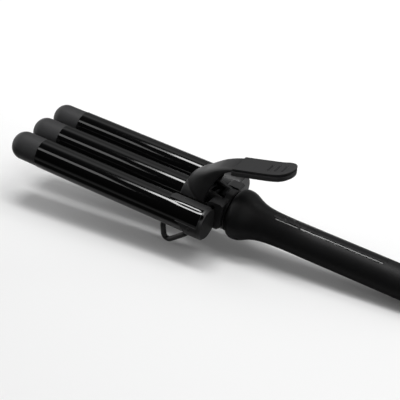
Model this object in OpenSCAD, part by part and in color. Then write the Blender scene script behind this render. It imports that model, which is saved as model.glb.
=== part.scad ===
// Hair waver with three heated barrels, in millimetres.
// The tool is drawn along X from the barrel tips at x = 0 to the cord end of the handle,
// with Z across the plane of the barrels on the lever's side, and is then laid on its folding
// stand and the end of its handle, with its lowest points at z = 0.

/* [Barrels] */
// Outside diameter of each barrel
barrel_d = 25; // [23:0.5:27]
// Gap between neighbouring barrels
barrel_gap = 3; // [2.8:0.2:5]
// Length of the outer barrel tubes
barrel_l = 156; // [150:1:178]
// Wall of the barrel tubes
barrel_wall = 0.8; // [0.7:0.1:1.2]
// How much sooner the middle barrel ends
jaw_setback = 7; // [7:0.5:10]

/* [Tip caps] */
// Length of a tip cap outside its barrel
cap_l = 29; // [24:1:40]
// Step down from the barrel to its tip cap
cap_step = 0.5; // [0.2:0.1:1]
// Rounding of the tip
cap_round = 10; // [4:0.5:10]
// Wall of a tip cap
cap_wall = 1.3; // [1.1:0.1:2]
// Length of the cap's plug inside the barrel
cap_plug_l = 10; // [6:1:16]

/* [Heaters] */
// Length of the heater in each barrel
heater_l = 70; // [60:1:100]
// Width of the heater plate
heater_w = 14; // [10:0.5:16]
// Thickness of the heater plate
heater_t = 3; // [2:0.2:4]
// Wall of the hollow heat spreaders
spreader_wall = 1; // [0.8:0.1:1.6]
// Radius of the lead that feeds a heater
lead_r = 0.8; // [0.6:0.1:1]

/* [Barrel holders] */
// Length of a holder in front of the end of its barrel
holder_l = 31; // [29:1:33]
// Wall of a holder
holder_wall = 0.9; // [0.8:0.1:1.4]
// Height above the barrel's axis of the holder's lip on the outer side
lip_z = 2; // [0:0.5:4]
// Length of the scoop in front of that lip
scoop_l = 20; // [18:1:24]

/* [Yoke and hinge] */
// Thickness of the discs that close the holders
disc_t = 3; // [2.4:0.1:3.4]
// Chamfer round the discs
disc_chamfer = 1.4; // [0.6:0.2:2]
// Length of the yoke's plugs in the outer barrels
plug_l = 10; // [9:0.5:14]
// Wall of these plugs
plug_wall = 3; // [2.4:0.2:4]
// Distance from the rear of the discs forward to the hinge axis
hinge_setback = 2.5; // [1:0.5:3.5]
// Height of the hinge axis above the barrels' axes
hinge_z = 10; // [9.5:0.5:11]
// Diameter of the hinge pin
pin_d = 4; // [3:0.5:4.5]
// Radius of the hinge cheeks round the pin
cheek_r = 5; // [4.5:0.25:5.5]
// Distance between the inner faces of the cheeks
cheek_gap = 19.6; // [18.8:0.4:21.2]
// Thickness of a cheek
cheek_t = 8.7; // [6:0.1:9]
// Depth of the yoke behind the discs
yoke_t = 6; // [5:0.2:7]
// Radius of the neck behind the yoke
neck_r = 16.5; // [15:0.5:17]
// Length of the neck ring
neck_l = 2.4; // [2:0.2:5]
// Radius of the yoke's spigot inside the handle
spigot_r = 10.5; // [9:0.5:12]
// Radius of the wire passage through the spigot
wire_way_r = 5.5; // [4:0.5:6.5]

/* [Lever] */
// Length of the saddle on the middle barrel
saddle_l = 22; // [18:1:24]
// Distance from the saddle's rear edge to the rear end of the middle barrel
saddle_inset = 3; // [2:0.5:5]
// Wall of the saddle and the arm
arm_wall = 2.4; // [2:0.1:2.8]
// Width of the arm
arm_w = 20.5; // [18:0.5:21]
// Height of the arm's top where the pad begins
arm_top_z = 45; // [42:0.5:50]
// Length of the thumb pad
pad_l = 46; // [40:1:56]
// Width of the thumb pad
pad_w = 21; // [20:0.5:26]
// Rise of the pad for each millimetre of its length
pad_slope = 0.27; // [0.2:0.01:0.34]
// Extra rise at the curled end of the pad
pad_curl = 2.2; // [0:0.2:3]
// Thickness of the pad's cover
pad_cover_t = 2.2; // [1.6:0.1:3]
// Thickness of the tray under the cover
pad_tray_t = 3.6; // [2.4:0.1:4.4]
// Distance between the grooves across the pad
groove_pitch = 5.7; // [4:0.1:6]
// Length of these grooves
groove_l = 10; // [6:0.5:14]

/* [Spring] */
// Wire diameter of the torsion spring
spring_wire = 1.4; // [1:0.1:1.6]
// Number of turns
spring_turns = 6; // [3:1:6]
// Mean radius of the coil
spring_r = 4.4; // [3.8:0.1:4.8]

/* [Stand] */
// Diameter of the stand's wire
wire_d = 4.4; // [3.6:0.1:4.6]
// Distance from the barrels' end forward to the stand's pivot
pivot_setback = 14; // [12:0.5:16]
// Distance from the pivot forward to the feet
stand_reach = 20; // [18:0.5:22]
// Angle at which the tool lies on its stand
rest_tilt = 5.8; // [5:0.1:7]
// Radius of the bends in the wire
wire_bend = 4.2; // [4:0.1:5]

/* [Handle] */
// Total length from the barrel tips to the end of the handle
tool_l = 380; // [360:1:400]
// Largest radius of the handle, behind the neck
bulb_r = 20.6; // [19.6:0.2:22]
// Radius of the grip
grip_r = 12.8; // [12.4:0.1:14]
// Length of the bulb's round front
bulb_front = 6; // [5:0.5:8]
// Length of the taper from the bulb to the grip
bulb_taper = 44; // [38:1:48]
// Wall of the handle shells
shell_wall = 2.4; // [2:0.1:2.8]
// Rounding of the handle's end
tail_round = 4; // [3:0.5:5]
// Length of the tail cap
tail_l = 12; // [10:0.5:16]

/* [Controls] */
// Distance from the front of the handle to the control strip
strip_start = 34; // [32:1:40]
// Length of the control strip
strip_l = 94; // [88:1:100]
// Width of the control strip
strip_w = 9; // [8.4:0.2:10]
// How far the strip stands above the grip
strip_proud = 0.3; // [0:0.1:0.6]
// Thickness of the strip
strip_t = 2; // [1.6:0.1:2.4]
// Length of the power button
power_l = 9.5; // [8:0.5:10]
// Length of each temperature button
temp_l = 4.8; // [4.4:0.2:5]
// Width of the buttons
button_w = 6; // [5.4:0.2:6.2]
// Travel of the buttons
button_travel = 0.6; // [0.4:0.1:0.8]
// Length of the display window
window_l = 52; // [40:1:52]
// Width of the circuit board
board_w = 15; // [12:0.5:16]

/* [Cord gland] */
// Diameter of the cord that the gland takes
cord_d = 7; // [6:0.1:8]
// Length of the gland outside the handle
gland_l = 5; // [4:0.5:10]
// Radius of the gland outside the handle
gland_r = 6; // [5.5:0.25:7]

/* [Hidden] */
$fn = 64;

eps = 0.01;
fit = 0.1;         // clearance round a piece that is pushed into another
run = 0.05;        // radial clearance of a pin that turns
play = 0.3;        // clearance between pieces that move past each other
far = 500;         // longer than anything here

barrel_r = barrel_d / 2;
bore_r = barrel_r - barrel_wall;
pitch = barrel_d + barrel_gap;
cap_r = barrel_r - cap_step;
cap_flat = cap_r - cap_round;
barrel_end = cap_l + barrel_l;
jaw_end = barrel_end - jaw_setback;

holder_r = barrel_r + holder_wall;
holder_x = barrel_end - holder_l;
scoop_flat = 12;
disc_end = barrel_end + disc_t;

screw_r = 1;
screw_head_r = 1.9;
screw_head_h = 0.7;
screw_tip = bore_r - 2.4;

hinge_x = disc_end - hinge_setback;
pin_r = pin_d / 2;
pin_end = pitch - sqrt(pow(holder_r + play, 2) - pow(hinge_z - pin_r, 2)) - play;
yoke_end = disc_end + yoke_t;
neck_plate_t = 4.6;
cheek_out = cheek_gap / 2 + cheek_t;
block_x = jaw_end + 1.5;
block_top = -1;
block_low = -9;
way_x = barrel_end + lead_r + 0.2;
way_z = -4;

neck_end = yoke_end + neck_l;
front_wall = 3;
flange_x = neck_end + front_wall + fit;
flange_t = 2;
bulb_x = neck_end + bulb_front;
seam_x = tool_l - tail_l;
inner_r = grip_r - shell_wall;

saddle_end = jaw_end - saddle_inset;
saddle_x = saddle_end - saddle_l;
saddle_r = barrel_r + arm_wall;
saddle_low = 6;
heater_x = saddle_x - 5 - heater_l;
pad_x = hinge_x + 10;
pad_end = pad_x + pad_l;
groove_r = 1.4;
groove_end = pad_end - 8.5;
ear_t = 3;
ear_in = cheek_gap / 2 - play - ear_t;
spring_pitch = spring_wire + 0.2;
spring_half = spring_turns * spring_pitch / 2;

strip_x = neck_end + strip_start;
strip_end = strip_x + strip_l;
strip_top = grip_r + strip_proud;
strip_low = strip_top - strip_t;
lens_x = strip_x + 9;
lens_r = 1.2;
power_x = lens_x + 8;
minus_x = power_x + (power_l + temp_l) / 2 + 1.5;
plus_x = minus_x + temp_l + 1;
window_x = plus_x + temp_l / 2 + 3 + window_l / 2;
window_w = strip_w - 3;
window_t = 0.8;
button_lip = 0.6;
button_slack = 0.15;
lip_top = sqrt(pow(inner_r, 2) - pow(button_w / 2 + button_lip, 2)) - play;
lip_t = 0.8;
switch_h = 1.5;
switch_w = 4.2;
board_top = lip_top - lip_t - button_travel - fit - switch_h;
board_t = 1.6;
board_x = strip_x - 4;
board_end = strip_end + 4;
board_screw_x = [board_x + 3, board_end - 3];
boss_r = 2.2;

wire_r = wire_d / 2;
lug_r = wire_r + 1.8;
lug_out = pitch - wire_bend - play;
lug_in = lug_out - 5;
pivot_x = barrel_end - pivot_setback;
pivot_z = -holder_r - wire_r - 0.6;
crossbar_z = -barrel_r - wire_r - play;
crossbar_x = pivot_x - stand_reach - 3;
lug_back = pivot_x + lug_r + 7;

gland_flange_r = gland_r + 2;
gland_flange_t = 2.5;
gland_x = tool_l - 4 - gland_flange_t - run;
gland_end = tool_l + gland_l;

// The tool rests on the rounding of its handle's end and on the feet of its stand
tail_low = (tool_l - tail_round) * sin(rest_tilt) + (grip_r - tail_round) * cos(rest_tilt) + tail_round;
foot_x = pivot_x - stand_reach;
foot_z = (foot_x * sin(rest_tilt) - tail_low + wire_r) / cos(rest_tilt);
tip_reach = cap_round * cos(rest_tilt) - cap_flat * sin(rest_tilt) - cap_round;
gland_reach = gland_end * cos(rest_tilt) + gland_r * sin(rest_tilt);
centre_x = (tip_reach + gland_reach) / 2;

matte = [0.16, 0.16, 0.17];
gloss = [0.04, 0.04, 0.045];
soft = [0.10, 0.10, 0.11];
steel = [0.62, 0.63, 0.65];
alloy = [0.75, 0.76, 0.78];
copper = [0.72, 0.42, 0.25];

// ---- helpers ----

module at_rest() translate([-centre_x, 0, tail_low]) rotate([0, rest_tilt, 0]) children();

// Turns what is drawn along Z so that it runs along X from x
module along_x(x = 0, y = 0, z = 0) translate([x, y, z]) rotate([0, 90, 0]) children();

// Makes an outline drawn in X and Z a slab from y0 to y1
module slab(y0, y1) translate([0, y1, 0]) rotate([90, 0, 0]) linear_extrude(y1 - y0) children();

module rod(x0, x1, r, y = 0, z = 0) along_x(x0, y, z) cylinder(h = x1 - x0, r = r);

module cross_rod(x, z, y0, y1, r) translate([x, y1, z]) rotate([90, 0, 0]) cylinder(h = y1 - y0, r = r);

module upright(x, y, z0, z1, r) translate([x, y, z0]) cylinder(h = z1 - z0, r = r, $fn = 32);

// A key shape on the top of the handle, l long and w wide, from z0 to z1
module pill(x, l, w, z0, z1) translate([x, 0, z0]) linear_extrude(z1 - z0) {
    square([l - w, w], center = true);
    for (side = [-1, 1]) translate([side * (l - w) / 2, 0]) circle(d = w);
}

function unit(v) = v / norm(v);
function heading(p, i) = unit(p[min(i + 1, len(p) - 1)] - p[max(i - 1, 0)]);
function carried(p, up, i = 0, out = []) = i == len(p) ? out :
    let (t = heading(p, i), m = unit(up - (up * t) * t))
    carried(p, m, i + 1, concat(out, [[m, cross(t, m)]]));

// The points of a round bend of radius r at corner b, between a and c
function bend(a, b, c, r, steps = 5) =
    let (u = unit(a - b), v = unit(c - b), turn = acos(u * v), mid = b + unit(u + v) * r / sin(turn / 2),
         w0 = b + u * r / tan(turn / 2) - mid, w1 = b + v * r / tan(turn / 2) - mid, arc = 180 - turn)
    [for (i = [0:steps]) mid + (sin((1 - i / steps) * arc) * w0 + sin(i / steps * arc) * w1) / sin(arc)];

function bent(p, r) = [p[0], for (i = [1:len(p) - 2]) each bend(p[i - 1], p[i], p[i + 1], r), p[len(p) - 1]];

// A solid through a row of rings with the same even number of points
module skin(rings) {
    sides = len(rings[0]);
    last = (len(rings) - 1) * sides;
    polyhedron([for (r = rings) each r], concat(
        [for (k = [0:sides / 2 - 2]) [k, k + 1, sides - 2 - k, sides - 1 - k]],
        [for (i = [0:sides:last - 1]) for (k = [0:sides - 1])
            [i + k, i + sides + k, i + sides + (k + 1) % sides, i + (k + 1) % sides]],
        [for (k = [0:sides / 2 - 2]) [last + sides - 1 - k, last + sides - 2 - k, last + k + 1, last + k]]));
}

// A round wire along the points p
module wire(p, r, up, sides = 12) {
    f = carried(p, up);
    skin([for (i = [0:len(p) - 1]) [for (k = [0:sides - 1])
        p[i] + r * (cos(360 * k / sides) * f[i][0] + sin(360 * k / sides) * f[i][1])]]);
}

function curve(a, b, c, steps = 18) = [for (i = [0:steps]) let (t = i / steps)
    (1 - t) * (1 - t) * a + 2 * t * (1 - t) * b + t * t * c];

// ---- barrels ----

// Place along the tool and angle round the barrel, from its inner side over its top
holder_screw_spots = [[holder_x + 10, 76], [barrel_end - 6, 186]];

module barrel(y, end) color(gloss) difference() {
    rod(cap_l, end, barrel_r, y);
    rod(cap_l - 1, end + 1, bore_r, y);
    if (y == 0) for (x = saddle_screw_x) upright(x, 0, 0, far, screw_r + run);
    else for (s = holder_screw_spots) at_screw(s, sign(y)) upright(0, 0, 0, far, screw_r + run);
}

module tip_cap(y) color(matte) along_x(0, y) rotate_extrude() difference() {
    union() {
        polygon([[0, 0], for (a = [0:9:90]) [cap_flat + cap_round * sin(a), cap_round * (1 - cos(a))],
                 [cap_r, cap_l], [0, cap_l]]);
        translate([0, cap_l - eps]) square([bore_r - fit, cap_plug_l + eps]);
    }
    translate([0, cap_round + cap_wall]) square([bore_r - fit - cap_wall, far]);
}

module heater(y) color(copper) translate([heater_x, y - heater_w / 2, -heater_t / 2])
    cube([heater_l, heater_w, heater_t]);

module heat_spreaders(y) color(alloy) for (side = [0, 1]) mirror([0, 0, side]) along_x(heater_x, y)
    linear_extrude(heater_l) difference() {
        circle(r = bore_r - run);
        translate([-heater_t / 2 - run, -far / 2]) square([far, far]);
        difference() {
            circle(r = bore_r - run - spreader_wall);
            translate([-heater_t / 2 - run - spreader_wall, -far / 2]) square([far, far]);
            translate([-far, -spreader_wall / 2]) square([far, spreader_wall]);
        }
    }

// A heater's lead runs back inside its barrel, across the yoke and into the handle
module lead(side) color(copper) wire(bent([
    [heater_x + heater_l + fit, side * pitch, 0], [barrel_end - plug_l - 8, side * pitch, 0],
    [barrel_end - plug_l, side * pitch, way_z], [way_x, side * pitch, way_z],
    [way_x, side * lead_r * 1.5, way_z], [flange_x, side * lead_r * 1.5, way_z],
    [board_x - 14, side * lead_r * 1.5, 0],
    [board_x - 6, side * 3, board_top - board_t / 2], [board_x - fit, side * 3, board_top - board_t / 2]],
    lead_r * 3), lead_r, [0, 0, 1], 8);

// ---- barrel holders ----

module at_screw(spot, side) translate([spot[0], side * pitch, 0])
    rotate([side * (90 - spot[1]), 0, 0]) children();

module holder(side) color(matte) difference() {
    union() {
        difference() {
            rod(holder_x, barrel_end, holder_r, side * pitch);
            holder_scoop();
            holder_window(side);
        }
        stand_lug(side);
    }
    rod(holder_x - far, far, barrel_r + run, side * pitch);
    cross_rod(pivot_x, pivot_z, -far, far, wire_r + run);
    for (s = holder_screw_spots) at_screw(s, side) {
        upright(0, 0, 0, far, screw_r + run);
        screw_cone(run);
        upright(0, 0, holder_r - fit, far, screw_head_r + run);
    }
}

// Cuts the front of a holder back below its lip, in a quarter of an oval
module holder_scoop() slab(-far, far) polygon([[holder_x - 1, lip_z],
    for (a = [0:10:90]) [holder_x + scoop_flat + (scoop_l - scoop_flat) * sin(a),
                         lip_z - (lip_z + barrel_r) * (1 - cos(a))],
    [holder_x + scoop_l, -far], [holder_x - 1, -far]]);

// Opens a holder above its lip on the outer side, where the barrel shows
module holder_window(side) mirror([0, side < 0 ? 1 : 0, 0])
    translate([holder_x - 1, pitch + 2, lip_z]) cube([holder_l + 2, far, far]);

// The lug under a holder that the stand's wire turns in
module stand_lug(side) slab(side > 0 ? lug_in : -lug_out, side > 0 ? lug_out : -lug_in) {
    translate([pivot_x, pivot_z]) circle(r = lug_r);
    polygon([[pivot_x - lug_r, pivot_z], [pivot_x + lug_r, pivot_z], [lug_back, -barrel_r],
             [lug_back, -barrel_r / 2], [pivot_x - lug_r, -barrel_r / 2]]);
}

// The sunk head of a holder screw, or its seat with some clearance round it
module screw_cone(clear) translate([0, 0, holder_r - screw_head_h - fit])
    cylinder(h = screw_head_h, r1 = screw_r + clear, r2 = screw_head_r + clear, $fn = 32);

module holder_screws() color(steel) for (side = [-1, 1]) for (s = holder_screw_spots) at_screw(s, side) {
    upright(0, 0, screw_tip, holder_r - screw_head_h, screw_r);
    screw_cone(0);
}

// ---- yoke and hinge ----

module yoke_frame() color(matte) difference() {
    union() {
        difference() {
            union() {
                slab(-cheek_out, cheek_out) polygon([[block_x, block_low + 3], [block_x + 3, block_low],
                    [yoke_end - 3, block_low], [yoke_end, block_low + 3], [yoke_end, block_top],
                    [block_x, block_top]]);
                for (side = [-1, 1]) cheek(side);
            }
            for (side = [-1, 1]) rod(block_x - 1, barrel_end, holder_r + fit, side * pitch);
        }
        for (side = [-1, 1]) yoke_disc(side);
        rod(yoke_end - neck_plate_t, yoke_end, neck_r);
        rod(yoke_end - eps, flange_x, spigot_r);
        rod(flange_x - eps, flange_x + flange_t, spigot_r + 2.5);
    }
    cross_rod(hinge_x, hinge_z, -far, far, pin_r + run);
    cross_rod(hinge_x, hinge_z, -cheek_gap / 2, cheek_gap / 2, cheek_r + 2 * play);
    translate([barrel_end - eps, -pitch - lead_r - 0.4, way_z - lead_r - 0.4])
        cube([way_x + lead_r + 0.3 - barrel_end, 2 * (pitch + lead_r + 0.4), 2 * (lead_r + 0.4)]);
    rod(barrel_end + 1, far, wire_way_r);
}

// The disc that closes a holder, and the hollow plug inside its barrel
module yoke_disc(side) difference() {
    union() {
        rod(barrel_end, disc_end - disc_chamfer, holder_r, side * pitch);
        along_x(disc_end - disc_chamfer, side * pitch)
            cylinder(h = disc_chamfer, r1 = holder_r, r2 = holder_r - disc_chamfer);
        rod(barrel_end - plug_l, barrel_end + eps, bore_r - fit, side * pitch);
    }
    rod(barrel_end - plug_l - 1, barrel_end, bore_r - fit - plug_wall, side * pitch);
    at_screw(holder_screw_spots[1], side) upright(0, 0, 0, far, screw_r + run);
}

module cheek(side) slab(side > 0 ? cheek_gap / 2 : -cheek_out, side > 0 ? cheek_out : -cheek_gap / 2) {
    translate([hinge_x, hinge_z]) circle(r = cheek_r);
    polygon([[hinge_x - cheek_r, hinge_z], [hinge_x, hinge_z + cheek_r], [yoke_end - 1.5, hinge_z + cheek_r],
             [yoke_end - eps, hinge_z + cheek_r - 1.5], [yoke_end - eps, block_top - 1],
             [block_x, block_top - 1], [block_x, block_top]]);
}

module hinge_pin() color(steel) cross_rod(hinge_x, hinge_z, -pin_end, pin_end, pin_r);

// A coil round the hinge pin, with one leg on the yoke's block and the other over the saddle
module torsion_spring() color(steel) wire([
    [hinge_x + spring_r - 2.9, -spring_half, block_top + spring_wire / 2 + fit],
    for (i = [0:spring_turns * 16 + 4])
        [hinge_x + spring_r * cos(i * 22.5), -spring_half + i * spring_pitch / 16,
         hinge_z + spring_r * sin(i * 22.5)],
    [saddle_end - 2.5, spring_half + spring_pitch / 4, saddle_r + spring_wire / 2 + fit]],
    spring_wire / 2, [0, 1, 0], 8);

module neck_ring() color(soft) difference() {
    union() {
        rod(yoke_end, neck_end - 0.6, neck_r + 0.4);
        rod(neck_end - 0.6 - eps, neck_end, neck_r - 0.6);
    }
    rod(yoke_end - 1, neck_end + 1, spigot_r + fit);
}

// ---- lever ----

function pad_top(x) = arm_top_z + pad_slope * (x - pad_x)
    + pad_curl * pow(max(0, x - pad_x - 0.6 * pad_l) / (0.4 * pad_l), 2);
function pad_line(drop) = [for (i = [0:16]) let (x = pad_x + i * pad_l / 16) [x, pad_top(x) - drop]];
function backwards(p) = [for (i = [len(p) - 1:-1:0]) p[i]];

tray_top = pad_cover_t + eps;
tray_low = pad_cover_t + pad_tray_t;

// The arm's crown rises from the saddle's front to the pad, its edges from the saddle's rear
arm_low_r = saddle_r - 0.1;
arm_foot_w = 2 * sqrt(pow(arm_low_r, 2) - pow(saddle_low, 2));
arm_crown = curve([saddle_x + 0.1, arm_low_r], [saddle_x + 6.5, arm_top_z * 0.76],
                  [pad_x - fit, arm_top_z - 0.2]);
arm_edge = curve([saddle_end - 0.7, saddle_low - 0.5], [saddle_end + 4.5, arm_top_z * 0.8],
                 [pad_x - fit, arm_top_z - 3.4]);

// Half of an arched section from its crown to its edge, w wide, squarer as power grows from 2
function arch(crown, edge, w, power, side, steps = 10) = [for (k = [steps:-1:0]) let (a = 90 * k / steps)
    let (p = edge + (crown - edge) * pow(cos(a), 2 / power))
    [p[0], side * pow(sin(a), 2 / power) * w / 2, p[1]]];
function whole_arch(crown, edge, w, power) =
    let (a = arch(crown, edge, w, power, 1), b = arch(crown, edge, w, power, -1))
    concat(a, [for (k = [len(b) - 2:-1:0]) b[k]]);
function arm_section(i) = let (crown = arm_crown[i], edge = arm_edge[i], t = i / (len(arm_crown) - 1),
                               w = arm_w + (arm_foot_w - arm_w) * pow(max(0, 1 - t / 0.4), 2),
                               power = 2 + 3 * t)
    concat(whole_arch(crown, edge, w, power),
           backwards(whole_arch(crown + unit(edge - crown) * arm_wall, edge, w - 2 * arm_wall, power)));

module pad_outline(w) translate([0, 0, -far / 2]) linear_extrude(far) {
    translate([pad_x, -w / 2]) square([pad_end - w / 2 - pad_x, w]);
    translate([pad_end - w / 2, 0]) circle(r = w / 2);
    translate([pad_x - 6, arm_wall + 0.5 - arm_w / 2]) square([7, arm_w - 2 * arm_wall - 1]);
}

module lever_arm() color(matte) difference() {
    union() {
        difference() {
            rod(saddle_x, saddle_end, saddle_r);
            translate([saddle_x - 1, -far / 2, -far]) cube([saddle_l + 2, far, far + saddle_low]);
        }
        skin([for (i = [0:len(arm_crown) - 1]) arm_section(i)]);
        intersection() {
            slab(-far, far) polygon(concat([[pad_x - 5, pad_top(pad_x - 5) - tray_top]], pad_line(tray_top),
                backwards(pad_line(tray_low)), [[pad_x - 5, pad_top(pad_x - 5) - tray_top - 1.5]]));
            pad_outline(pad_w - 0.8);
        }
        for (side = [-1, 1]) lever_ear(side);
    }
    rod(0, jaw_end + 2, barrel_r + run);
    cross_rod(hinge_x, hinge_z, -far, far, pin_r + run);
    for (x = saddle_screw_x) upright(x, 0, 0, saddle_r - 0.6, screw_r + run);
}

module lever_ear(side) slab(side > 0 ? ear_in : -ear_in - ear_t, side > 0 ? ear_in + ear_t : -ear_in) {
    translate([hinge_x, hinge_z]) circle(r = cheek_r - play);
    polygon([[saddle_end - 4, saddle_low + 1], [hinge_x, hinge_z - cheek_r + play],
             [hinge_x, hinge_z + cheek_r - play], [saddle_end + 1, hinge_z + 7],
             [saddle_end - 4, hinge_z + 7]]);
}

module lever_pad() color(soft) difference() {
    intersection() {
        slab(-far, far) polygon(concat(pad_line(0), backwards(pad_line(pad_cover_t))));
        pad_outline(pad_w);
    }
    for (k = [0:2]) let (x = groove_end - k * groove_pitch)
        cross_rod(x, pad_top(x) + groove_r / 2, -groove_l / 2, groove_l / 2, groove_r);
}

module middle_end_plug() color(matte) difference() {
    union() {
        rod(jaw_end, jaw_end + 1, barrel_r - 0.4);
        rod(jaw_end - 2.5, jaw_end + eps, bore_r - fit);
    }
    rod(jaw_end - far, jaw_end + far, lead_r + 0.4, 0, -4);
}

saddle_screw_x = [saddle_x + 4, saddle_end - 4];

module saddle_screws() color(steel) for (x = saddle_screw_x) {
    seat = sqrt(pow(bore_r, 2) - pow(screw_head_r, 2)) - run;
    upright(x, 0, seat - 1, seat, screw_head_r);
    upright(x, 0, seat - eps, saddle_r - 0.8, screw_r);
}

// ---- stand ----

function stand_half(side) = [[pivot_x, side * (lug_in - 0.5), pivot_z], [pivot_x, side * pitch, pivot_z],
    [foot_x, side * pitch, foot_z], [crossbar_x, side * pitch, crossbar_z]];

module stand_wire() color(steel) wire(bent(concat(stand_half(-1), backwards(stand_half(1))), wire_bend),
    wire_r, [1, 0, 0], 16);

// ---- handle ----

// How much of the bulb is left at the share t of its taper, steep at first and then gentle
function bulb_left(t) = 1 / (1 + pow(t / 0.28, 2.7));

// The handle's outline, drawn in by inset, as points of radius and place along the tool
function handle_line(inset) = [
    for (a = [0:15:90])
        [neck_r - 1.5 + (bulb_r - neck_r + 1.5) * sin(a) - inset, bulb_x - bulb_front * cos(a)],
    for (i = [1:18]) let (t = i / 18, left = (bulb_left(t) - bulb_left(1)) / (1 - bulb_left(1)))
        [grip_r + (bulb_r - grip_r) * left - inset, bulb_x + bulb_taper * t],
    [grip_r - inset, seam_x]];

module handle_body() along_x() rotate_extrude()
    polygon(concat([[0, neck_end]], handle_line(0), [[0, seam_x]]));

module handle_hollow() {
    intersection() {
        along_x() rotate_extrude() polygon(concat([[0, neck_end]], handle_line(shell_wall), [[0, seam_x]]));
        rod(flange_x - fit, seam_x - eps, far);
    }
    rod(seam_x - 10, seam_x + 1, inner_r);
    rod(neck_end - 1, flange_x + 1, spigot_r + fit);
}

front_screw_x = neck_end + 11;
front_screw_y = bulb_r * 0.7;
rear_screw_x = seam_x - 18;
handle_screw_spots = [[front_screw_x, front_screw_y], [front_screw_x, -front_screw_y], [rear_screw_x, 0]];
boss_outer_r = 2.8;
screw_floor = -4;      // height of the seat of these screws' heads

module handle_half(up) difference() {
    union() {
        difference() {
            handle_body();
            handle_hollow();
        }
        intersection() {
            handle_body();
            union() {
                for (s = handle_screw_spots) upright(s[0], s[1], -far, far, boss_outer_r);
                if (up) for (x = board_screw_x) upright(x, 0, board_top, strip_low, boss_r);
            }
        }
    }
    translate([-far, -far / 2, up ? -far : 0]) cube([3 * far, far, far]);
}

module handle_upper_shell() color(soft) difference() {
    handle_half(true);
    pill(strip_x + strip_l / 2, strip_l + 2 * fit, strip_w + 2 * fit, strip_low, far);
    pill(power_x, power_l + 2 * play, button_w + 2 * play, 0, far);
    for (x = [minus_x, plus_x]) key_shape(x, temp_l + 2 * play, button_w + 2 * play, 0, far);
    upright(lens_x, 0, 0, far, lens_r + fit);
    for (x = board_screw_x) upright(x, 0, 0, board_top + 3, screw_r + run);
    for (s = handle_screw_spots) upright(s[0], s[1], -1, 6, screw_r + run);
}

module handle_lower_shell() color(soft) difference() {
    handle_half(false);
    for (s = handle_screw_spots) {
        upright(s[0], s[1], -far, 1, screw_r + run);
        upright(s[0], s[1], -far, screw_floor, screw_head_r + run);
    }
}

module handle_screws() color(steel) for (s = handle_screw_spots) {
    upright(s[0], s[1], screw_floor - eps, 5, screw_r);
    upright(s[0], s[1], screw_floor - 1, screw_floor, screw_head_r);
}

module tail_cap() color(soft) difference() {
    along_x() rotate_extrude() polygon([[0, seam_x - 8], [inner_r - fit, seam_x - 8],
        [inner_r - fit, seam_x], [grip_r, seam_x],
        for (a = [0:15:90]) [grip_r - tail_round * (1 - cos(a)), tool_l - tail_round * (1 - sin(a))],
        [0, tool_l]]);
    rod(seam_x - 9, tool_l + 1, gland_r + run);
    rod(seam_x - 9, tool_l - 4, gland_flange_r + run);
}

module cord_gland() color(matte) difference() {
    union() {
        rod(gland_x, gland_x + gland_flange_t, gland_flange_r);
        rod(gland_x + gland_flange_t - eps, gland_end, gland_r);
    }
    rod(gland_x - 1, gland_end + 1, cord_d / 2);
}

// ---- controls ----

// What is flush with the round top of the strip
module flush(r) intersection() {
    rod(strip_x - 1, strip_end + 1, r);
    children();
}

module control_strip() color(gloss) difference() {
    flush(strip_top) pill(strip_x + strip_l / 2, strip_l, strip_w, strip_low, far);
    pill(power_x, power_l + 2 * button_slack, button_w + 2 * button_slack, 0, far);
    for (x = [minus_x, plus_x]) key_shape(x, temp_l + 2 * button_slack, button_w + 2 * button_slack, 0, far);
    upright(lens_x, 0, 0, far, lens_r + fit);
    pill(window_x, window_l + 2 * fit, window_w + 2 * fit, strip_top - window_t - 0.4, far);
}

// A short key with rounded sides
module key_shape(x, l, w, z0, z1) translate([x, 0, z0]) linear_extrude(z1 - z0) intersection() {
    square([l, w], center = true);
    circle(r = norm([l, w]) / 2 - 0.5);
}

module power_button() color(gloss) {
    flush(strip_top + 0.3) pill(power_x, power_l, button_w, lip_top - eps, far);
    pill(power_x, power_l + 2 * button_lip, button_w + 2 * button_lip, lip_top - lip_t, lip_top);
}

module temp_button(x) color(gloss) {
    flush(strip_top + 0.3) key_shape(x, temp_l, button_w, lip_top - eps, far);
    key_shape(x, temp_l + 0.4, button_w + 2 * button_lip, lip_top - lip_t, lip_top);
}

module indicator_lens() color([0.9, 0.2, 0.15]) upright(lens_x, 0, lip_top, strip_top, lens_r);

module display_window() color([0.02, 0.02, 0.025])
    flush(strip_top) pill(window_x, window_l, window_w, strip_top - window_t - 0.4 + run, far);

module circuit_board() color([0.1, 0.35, 0.2]) difference() {
    translate([board_x, -board_w / 2, board_top - board_t])
        cube([board_end - board_x, board_w, board_t - run]);
    for (x = board_screw_x) upright(x, 0, 0, far, screw_r + run);
}

module board_switches() color(steel) for (x = [power_x, minus_x, plus_x]) {
    translate([x - switch_w / 2, -switch_w / 2, board_top]) cube([switch_w, switch_w, switch_h - 0.5]);
    upright(x, 0, board_top + switch_h - 0.5 - eps, board_top + switch_h, 1);
}

module board_screws() color(steel) for (x = board_screw_x) {
    upright(x, 0, board_top - board_t - eps, board_top + 2.8, screw_r);
    upright(x, 0, board_top - board_t - 1, board_top - board_t, screw_head_r);
}

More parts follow.
